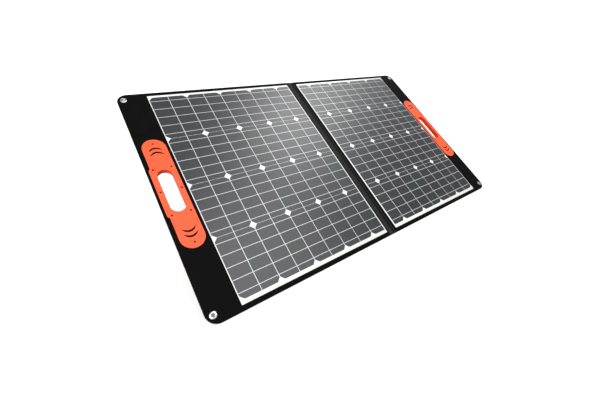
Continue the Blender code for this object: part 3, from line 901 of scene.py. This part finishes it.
def darken_grooves(shape):
    """Gives the floors and walls of the crescent grooves a near-black material, as painted shade."""
    middle = CELLS_OUTER + (HANDLE_NEAR + HANDLE_FAR) / 2
    margin = 0.05 * MM
    low, high = HANDLE_TOP - CRESCENT_DEPTH - margin, HANDLE_TOP - margin
    start, stop = CRESCENT_TIPS[0] - OVERLAP, CRESCENT_TIPS[1] + CRESCENT_SAG + OVERLAP
    for face in shape.faces:
        centre = face.calc_center_median()
        across = abs(abs(centre.x) - middle) < CRESCENT_WIDTH / 2 + OVERLAP
        if low < centre.z < high and across and start < abs(centre.y) < stop:
            face.material_index = 1


def screws(label, side, skins, body):
    """Domed dark screws with a cross recess."""
    for number, (x, y) in enumerate(screw_places(side), 1):
        head = turned([
            (0, 1.35 * MM), (1.2 * MM, 1.3 * MM), (2.1 * MM, 1.05 * MM), (2.6 * MM, 0.6 * MM),
            (2.6 * MM, 0.1 * MM), (SCREW_SHANK, 0.1 * MM), (SCREW_SHANK, -SCREW_LENGTH), (0, -SCREW_LENGTH),
        ], 28)
        for size in ((CROSS, CROSS_WIDTH, MM), (CROSS_WIDTH, CROSS, MM)):
            head = boolean(head, box_shape((0, 0, 1.2 * MM), size), "DIFFERENCE")
        turn = Matrix.Rotation(number * SCREW_TURN, 4, "Z")
        where = Matrix.Translation((x, y, HANDLE_TOP - SCREW_SINK)) @ turn
        place(f"{label}_screw_{number}", head, [skins["screw"]], body, where,
              stands_for=[f"{label}_handle_screw_{number}"])


def eyelet_ring():
    """The flange with its rolled bore and its barrel."""
    base = 0.1 * MM
    edge = 0.2 * MM
    turns = [math.radians(15 * i) for i in range(7)]
    roll = [(EYELET_BORE + EYELET_ROLL - EYELET_ROLL * math.cos(a), base + EYELET_ROLL * math.sin(a))
            for a in turns]
    return turned(roll + [
        (EYELET_OUTER - 1.0 * MM, 1.0 * MM), (EYELET_OUTER - 0.25 * MM, 0.7 * MM), (EYELET_OUTER, edge),
        (EYELET_BARREL, edge), (EYELET_BARREL, EYELET_FOOT), (EYELET_BORE, EYELET_FOOT)])


def eyelet_washer():
    """The dished washer that the barrel is set into behind the panel."""
    inner = EYELET_BARREL + WASHER_FIT
    top = -4.6 * MM
    return turned([
        (inner, top), (EYELET_OUTER, top), (EYELET_OUTER - 0.5 * MM, -5.1 * MM),
        (EYELET_OUTER - 1.6 * MM, -5.35 * MM), (inner, -5.4 * MM)])


def eyelets(label, side, skins, body):
    """Rolled eyelets with a plated flange and a washer behind."""
    for spot, (x, y) in eyelet_places(side).items():
        where = Matrix.Translation((x, y, 0))
        place(f"{label}_eyelet_ring_{spot}", eyelet_ring(), [skins["plate"]], body, where,
              stands_for=[f"{label}_eyelet_{spot}"])
        place(f"{label}_eyelet_back_{spot}", eyelet_washer(), [skins["plate"]], body, where,
              stands_for=[f"{label}_eyelet_washer_{spot}"])


def stand_bracket(label, skins, body, hinge):
    """The riveted bracket with its two lugs, and the pin through them."""
    top = BACK_FACE - PIN_Z
    face = top - BRACKET_PLATE
    half = STAND_HALF_WIDTH + BRACKET_MARGIN
    base = plate([rounded(half, BRACKET_HALF_HEIGHT, 5 * MM)], face, top)
    shapes = [round_edges(base, face, 0.8 * MM, 3)]
    for end in (-1, 1):
        lug_middle = (end * (STAND_HALF_WIDTH + LUG_OFFSET), 0, top / 2 - 3.5 * MM)
        shapes.append(box_shape(lug_middle, (LUG_THICK, 10 * MM, top + LUG_REACH), 1.4 * MM))
    slots = [0] * len(shapes)
    for x in RIVETS_X:
        for y in RIVETS_Y:
            rivet = turned([(0, -1.0 * MM), (1.4 * MM, -0.85 * MM), (2.3 * MM, -0.3 * MM),
                            (2.5 * MM, 0.2 * MM), (0, 0.2 * MM)], 24)
            shapes.append(moved(rivet, Matrix.Translation((x, y, face))))
            slots.append(1)
    place(f"{label}_stand_hinge_bracket", merged(shapes, slots), [skins["plastic"], skins["rivet"]],
          body, hinge, stands_for=[f"{label}_stand_bracket"])
    rod = turned([(0, half), (PIN_RADIUS, half), (PIN_RADIUS, -half), (0, -half)], 32)
    place(f"{label}_stand_hinge_pin", rod, [skins["pin"]], body,
          hinge @ ALONG_X, stands_for=[f"{label}_stand_pin"])


def stand_flap(label, skins, body, swing, length):
    """The fabric-covered board with bound and stitched edges, clamped in its knuckle."""
    half_length = (length - FLAP_START) / 2
    middle = -(length + FLAP_START) / 2
    board = plate([rounded(STAND_HALF_WIDTH, half_length, FLAP_CORNER, y=middle)],
                  -STAND_THICK / 2, STAND_THICK / 2)
    round_edges(board, STAND_THICK / 2, 1.6 * MM)
    round_edges(board, -STAND_THICK / 2, 1.6 * MM)
    shapes = [board]
    slots = [0]
    for face in (-1, 1):
        binding = [rounded(STAND_HALF_WIDTH - inset, half_length - inset, FLAP_CORNER - inset / 2, y=middle)
                   for inset in BINDING_INSET]
        shapes.append(plate(binding, *sorted((face * 2.3 * MM, face * 2.85 * MM))))
        seam = rounded(STAND_HALF_WIDTH - FLAP_SEAM, half_length - FLAP_SEAM, 4 * MM, y=middle)
        shapes.append(stitches(seam, face * 2.9 * MM))
        slots += [0, 2]
    knuckle = turned([(PIN_HOLE, STAND_HALF_WIDTH), (KNUCKLE, STAND_HALF_WIDTH),
                      (KNUCKLE, -STAND_HALF_WIDTH), (PIN_HOLE, -STAND_HALF_WIDTH)], 32)
    clamp = box_shape((0, -9 * MM, 0), (2 * STAND_HALF_WIDTH - 2 * MM, 12 * MM, 4.9 * MM), 0.8 * MM)
    shapes += [moved(knuckle, ALONG_X), clamp]
    slots += [1, 1]
    place(f"{label}_stand_flap", merged(shapes, slots), [skins["rear"], skins["plastic"], skins["thread"]],
          body, swing, stands_for=[f"{label}_stand_board"])


def stand_foot(label, skins, body, where, radius):
    """The ribbed rubber foot along the board's lower edge."""
    width = STAND_HALF_WIDTH - FOOT_SHORT
    profile = [(0, width)]
    for i in range(FOOT_RIBS + 1):
        dip = RIB_DEPTH if i % 2 else 0.0
        profile.append((radius - dip, width - 2 * width * i / FOOT_RIBS))
    profile.append((0, -width))
    place(f"{label}_stand_rubber", moved(turned(profile, 28), ALONG_X), [skins["rubber"]], body, where,
          stands_for=[f"{label}_stand_foot"])


def stand(label, side, skins, panel_body, stand_body):
    """Bracket and pin on the panel; board and foot on the swing, measured to the CAD's foot."""
    hinge = Matrix.Translation((side * STAND_X, STAND_Y, PIN_Z))
    stand_bracket(label, skins, panel_body, hinge)
    low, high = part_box(f"{label}_stand_foot")
    radius = (high.z - low.z) / 2
    reach = (PANEL.inverted() @ ((low + high) / 2) - hinge.to_translation()).length
    swing = hinge @ Matrix.Rotation(STAND_OPEN, 4, "X")
    stand_flap(label, skins, stand_body, swing, reach - radius - GAP)
    stand_foot(label, skins, stand_body, swing @ Matrix.Translation((0, -reach, 0)), radius)


def junction_box(label, side, skins, body):
    """A sealed box on the back, with a raised lid and four screws."""
    width, height, depth = BOX_SIZE
    shapes = [
        box_shape((0, 0, 0), BOX_SIZE, BOX_ROUNDING, 4),
        box_shape((0, 0, -depth / 2 + 0.2 * MM), (width - 9 * MM, height - 9 * MM, MM), 0.4 * MM, 2),
    ]
    for sx in (-1, 1):
        for sy in (-1, 1):
            head = turned([(0, -0.5 * MM), (1.5 * MM, -0.35 * MM), (1.9 * MM, 0.3 * MM), (0, 0.3 * MM)], 20)
            x = sx * (width / 2 - LID_SCREW_INSET)
            y = sy * (height / 2 - LID_SCREW_INSET)
            shapes.append(moved(head, Matrix.Translation((x, y, -depth / 2 - 0.3 * MM))))
    where = Matrix.Translation((side * BOX_X, BOX_Y, BACK_FACE - depth / 2))
    slots = [0, 0, 1, 1, 1, 1]
    place(f"{label}_junction_case", merged(shapes, slots), [skins["plastic"], skins["rivet"]], body, where,
          stands_for=[f"{label}_junction_box"])


def back_seam(label, side, skins, body):
    """The stitching that closes the back cover along its rim."""
    seam = stitches(panel_outline(side, SEAM_INSET), -THICKNESS - 0.05 * MM)
    place(f"{label}_back_seam", seam, [skins["thread"]], body)


def output_gland(skins, body):
    """Ribbed gland nut with a small hole for the output lead."""
    half = GLAND_LENGTH / 2
    floor = half - GLAND_DEPTH
    waist = 5.3 * MM
    flange = 5.9 * MM
    shapes = [turned([
        (0, floor), (GLAND_BORE, floor), (GLAND_BORE, half), (3.4 * MM, half),
        (4.6 * MM, half - 0.6 * MM), (waist, half - 2.2 * MM), (waist, -1.0 * MM),
        (flange, -1.4 * MM), (flange, -half), (0, -half)], 36)]
    for i in range(NUT_RIBS):
        rib = box_shape((waist, 0, 2.0 * MM), (0.9 * MM, 1.2 * MM, 6.0 * MM), 0.2 * MM, 2)
        shapes.append(moved(rib, Matrix.Rotation(2 * math.pi * i / NUT_RIBS, 4, "Z")))
    y = BOX_Y - BOX_SIZE[1] / 2 - GAP - half
    where = Matrix.Translation((-BOX_X, y, BACK_FACE - BOX_SIZE[2] / 2))
    where @= Matrix.Rotation(math.pi / 2, 4, "X")
    place("left_gland_nut", merged(shapes), [skins["plastic"]], body, where,
          stands_for=["left_output_gland"])


def bell(distance, width):
    return math.exp(-(distance / width) ** 2)


def fold_height(x, y):
    """Height of the fold's fabric: a low ridge with sewn channels, a crease and slight puckers."""
    ridge = 0.5 * MM * math.cos(min(abs(x) / (13.5 * MM), 1.0) * math.pi / 2)
    channels = sum(0.35 * MM * bell(x - channel, 0.6 * MM) for channel in CHANNELS)
    crease = 1.5 * MM * bell(x - CREASE, 2.6 * MM)
    pucker = 0.12 * MM * math.sin(y / PUCKER_PITCH * math.pi) * bell(abs(x) - 8.7 * MM, 2.4 * MM)
    return FOLD_TOP + ridge - channels - crease + pucker


def fabric_hinge(skins):
    """The fabric fold between the panels: one thick web with sewn channels along it."""
    shape = bmesh.new()
    grid = []
    for i in range(FOLD_COLUMNS + 1):
        x = FOLD_HALF_WIDTH * (2 * i / FOLD_COLUMNS - 1)
        heights = [COVER_HALF * (2 * j / FOLD_ROWS - 1) for j in range(FOLD_ROWS + 1)]
        grid.append([shape.verts.new((x, y, fold_height(x, y))) for y in heights])
    for left, right in zip(grid, grid[1:]):
        for j in range(FOLD_ROWS):
            shape.faces.new([left[j], right[j], right[j + 1], left[j + 1]])
    shape.normal_update()
    bmesh.ops.solidify(shape, geom=shape.faces[:], thickness=FOLD_THICK)
    bmesh.ops.recalc_face_normals(shape, faces=shape.faces)
    piece = place("fold_fabric", shape, [skins["fold"]], stands_for=["fabric_hinge"],
                  angle=40)
    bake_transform(piece)


def make_skins():
    """Every new piece's materials; the metals give dark, light and a range of roughness."""
    return {
        "fabric": coated_fabric("coated fabric", (0.0015, 0.0015, 0.0015), (0.0034, 0.0034, 0.0033), 0.03),
        "rear": coated_fabric("rear fabric", (0.0075, 0.0075, 0.0078), (0.018, 0.018, 0.0175), 0.2),
        "fold": coated_fabric("fold fabric", (0.014, 0.0144, 0.0141), (0.022, 0.0225, 0.0216), 0.05, True),
        "thread": thread(),
        "white": white_laminate(),
        "silicon": silicon(),
        "ribbon": ribbon_metal(),
        "orange": orange_plastic(),
        # painted shade for the floors and walls of the crescent grooves
        "groove_shade": metal("painted groove shade", (0.008, 0.008, 0.008), (0.014, 0.013, 0.013), 0.6, 0.8),
        "plastic": moulded("black plastic", (0.010, 0.010, 0.010), (0.022, 0.022, 0.021), (0.42, 0.6),
                           (40.0, 3.0), (1500.0, 2.0), 0.06 * MM),
        "rubber": moulded("foot rubber", (0.012, 0.012, 0.012), (0.03, 0.029, 0.027), (0.7, 0.9),
                          (80.0, 4.0), (900.0, 3.0), 0.08 * MM),
        "screw": metal("dark screw", (0.03, 0.028, 0.027), (0.07, 0.065, 0.06), 0.35, 0.55),
        "plate": metal("eyelet plating", (0.42, 0.42, 0.41), (0.62, 0.62, 0.61), 0.2, 0.36),
        "rivet": metal("rivet", (0.32, 0.32, 0.32), (0.45, 0.45, 0.44), 0.3, 0.45),
        "pin": metal("pin steel", (0.45, 0.45, 0.45), (0.6, 0.6, 0.6), 0.22, 0.38),
    }


def build():
    skins = make_skins()
    board = stiffener()
    for label, side in SIDES.items():
        body = f"{label}_panel"
        for back in (False, True):
            cover(label, side, back, skins, body)
        laminate(label, side, skins, body)
        for row in range(ROWS):
            cell_row(label, side, row, skins, body)
        for face in ("front", "back"):
            handle_shell(label, side, face, skins, body)
        screws(label, side, skins, body)
        eyelets(label, side, skins, body)
        stand(label, side, skins, body, f"{label}_stand")
        junction_box(label, side, skins, body)
        back_seam(label, side, skins, body)
        node = frame["nodes"][f"{label}_backing_board"]
        node.data.materials.clear()
        node.data.materials.append(board)
    output_gland(skins, "left_panel")
    fabric_hinge(skins)


# --- stage

# Where the camera stands and looks, in panel coordinates
CAMERA_AT = Vector((-0.6907, -0.4102, 0.6735))
CAMERA_LOOK = Vector((0.5299, 0.3219, -0.7846))
CAMERA_UP = Vector((0.2706, 0.8127, 0.5161))
LENS = 17.865
BACKDROP = 1.15  # brightness of the white behind the object
# Direction of the light that the film mirrors beside the top of the fold
SHINE = Vector((0.61, 0.56, 0.67))
# Direction of the weaker light that it mirrors at the lower left
GLOW = Vector((0.22, 0.14, 0.67))


def add_camera():
    """The photograph's view, which was fitted to the grid of cells and the outline."""
    data = bpy.data.cameras.new("camera")
    data.lens = LENS
    data.sensor_width = 36.0
    data.clip_start = 0.01
    turn = PANEL.to_3x3()
    back = -(turn @ CAMERA_LOOK).normalized()
    right = (turn @ CAMERA_UP).cross(back).normalized()
    up = back.cross(right)
    facing = Matrix((right, up, back)).transposed().to_4x4()
    camera = linked("camera", data)
    camera.matrix_world = Matrix.Translation(PANEL @ CAMERA_AT) @ facing
    bpy.context.scene.camera = camera


def add_sun(name, source, spread, strength):
    """A distant soft light from the given direction; spread is its width in degrees."""
    data = bpy.data.lights.new(name, "SUN")
    data.angle = math.radians(spread)
    data.energy = strength
    lamp = linked(name, data)
    lamp.rotation_euler = Vector(source).to_track_quat("Z", "Y").to_euler()


def add_world():
    """A studio that the camera sees as white, and that lights softly, a little more from low down."""
    world = bpy.data.worlds.new("studio")
    world.use_nodes = True
    tree = world.node_tree
    where = tree.nodes.new("ShaderNodeTexCoord")
    height = tree.nodes.new("ShaderNodeSeparateXYZ")
    fade = tree.nodes.new("ShaderNodeMapRange")
    fade.interpolation_type = "SMOOTHSTEP"
    for key, value in (("From Min", 0.1), ("From Max", 0.22), ("To Min", 0.4), ("To Max", 0.26)):
        fade.inputs[key].default_value = value
    seen = tree.nodes.new("ShaderNodeLightPath")
    backdrop = tree.nodes.new("ShaderNodeMix")
    backdrop.inputs[3].default_value = BACKDROP
    background = tree.nodes["Background"]
    background.inputs["Color"].default_value = (1, 1, 1, 1)
    for source, target in (
        (where.outputs["Generated"], height.inputs[0]),
        (height.outputs["Z"], fade.inputs["Value"]),
        (seen.outputs["Is Camera Ray"], backdrop.inputs[0]),
        (fade.outputs["Result"], backdrop.inputs[2]),
        (backdrop.outputs[0], background.inputs["Strength"]),
    ):
        tree.links.new(source, target)
    bpy.context.scene.world = world


def add_stage():
    """The floor, the studio and its lights."""
    bpy.ops.mesh.primitive_plane_add(size=400, location=(0, 0, -0.0002))
    floor = bpy.context.object
    floor.name = "floor"
    n = Nodes("pale floor")
    where = n.add("ShaderNodeTexCoord").outputs["Object"]
    n.set(Base_Color=n.mix(n.noise(where, 3.0), (0.9, 0.9, 0.9), (0.93, 0.93, 0.93)), Roughness=0.9)
    n.set(Specular_IOR_Level=0.1)
    floor.data.materials.append(n.material)
    bpy.context.scene.view_settings.view_transform = "Standard"
    add_world()
    add_sun("key", (-0.6, -0.55, 0.85), 50, 3.5)
    add_sun("shine", PANEL.to_3x3() @ SHINE, 16, 0.64)
    add_sun("glow", PANEL.to_3x3() @ GLOW, 30, 0.85)
    add_sun("rear", (0.3, 1.0, 0.45), 60, 1.2)


add_camera()
add_stage()
build()
